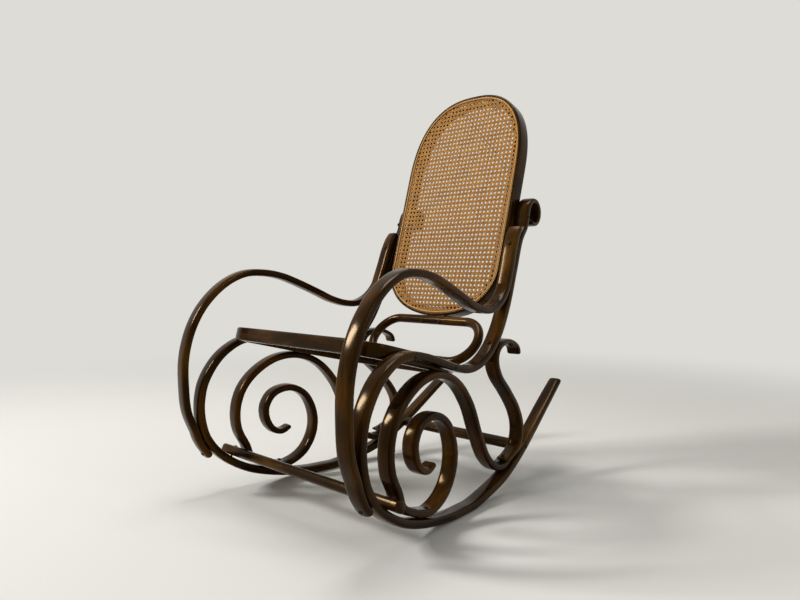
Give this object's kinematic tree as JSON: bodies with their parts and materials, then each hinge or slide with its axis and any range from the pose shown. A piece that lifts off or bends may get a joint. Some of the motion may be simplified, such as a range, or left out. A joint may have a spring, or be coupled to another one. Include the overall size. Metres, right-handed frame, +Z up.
{
  "type": "bentwood rocking chair",
  "caption": "Bentwood rocking chair with caned seat and tall caned back, scrolled side frames and long curved runners joined by cross bars.",
  "frame": {"origin": "bottom centre of the bounding box, on the floor under the middle of the chair", "axes": "+X to the sitter's left, +Y from the front of the chair to the back, +Z up"},
  "size_m": [0.6202, 0.913, 1.0506],
  "materials": {
    "stained_beech": "glossy dark walnut lacquer",
    "seat_beech": "glossy dark walnut lacquer",
    "cane": "natural golden cane, satin",
    "reed": "natural golden reed, satin",
    "bronzed_steel": "dark bronzed"
  },
  "bodies": {
    "root": {"front_stretcher": "stained_beech", "rear_stretcher": "stained_beech", "seat_rim": "seat_beech", "seat_cane": "cane", "seat_spline": "reed", "back_frame": "stained_beech", "back_cane": "cane", "back_spline": "reed", "back_loop": "stained_beech", "runner_post_left": "stained_beech", "arm_left": "stained_beech", "scroll_left": "stained_beech", "rear_support_left": "stained_beech", "screw_arm_top_left": "bronzed_steel", "screw_arm_foot_left": "bronzed_steel", "screw_scroll_base_left": "bronzed_steel", "screw_support_foot_left": "bronzed_steel", "screw_support_top_left": "bronzed_steel", "screw_front_stretcher_left": "bronzed_steel", "screw_rear_stretcher_left": "bronzed_steel", "screw_seat_front_left": "bronzed_steel", "screw_seat_rear_left": "bronzed_steel", "screw_back_left": "bronzed_steel", "runner_post_right": "stained_beech", "arm_right": "stained_beech", "scroll_right": "stained_beech", "rear_support_right": "stained_beech", "screw_arm_top_right": "bronzed_steel", "screw_arm_foot_right": "bronzed_steel", "screw_scroll_base_right": "bronzed_steel", "screw_support_foot_right": "bronzed_steel", "screw_support_top_right": "bronzed_steel", "screw_front_stretcher_right": "bronzed_steel", "screw_rear_stretcher_right": "bronzed_steel", "screw_seat_front_right": "bronzed_steel", "screw_seat_rear_right": "bronzed_steel", "screw_back_right": "bronzed_steel", "screw_loop_seat_left": "bronzed_steel", "screw_loop_back_left": "bronzed_steel", "screw_loop_seat_right": "bronzed_steel", "screw_loop_back_right": "bronzed_steel"}
  },
  "joints": []
}
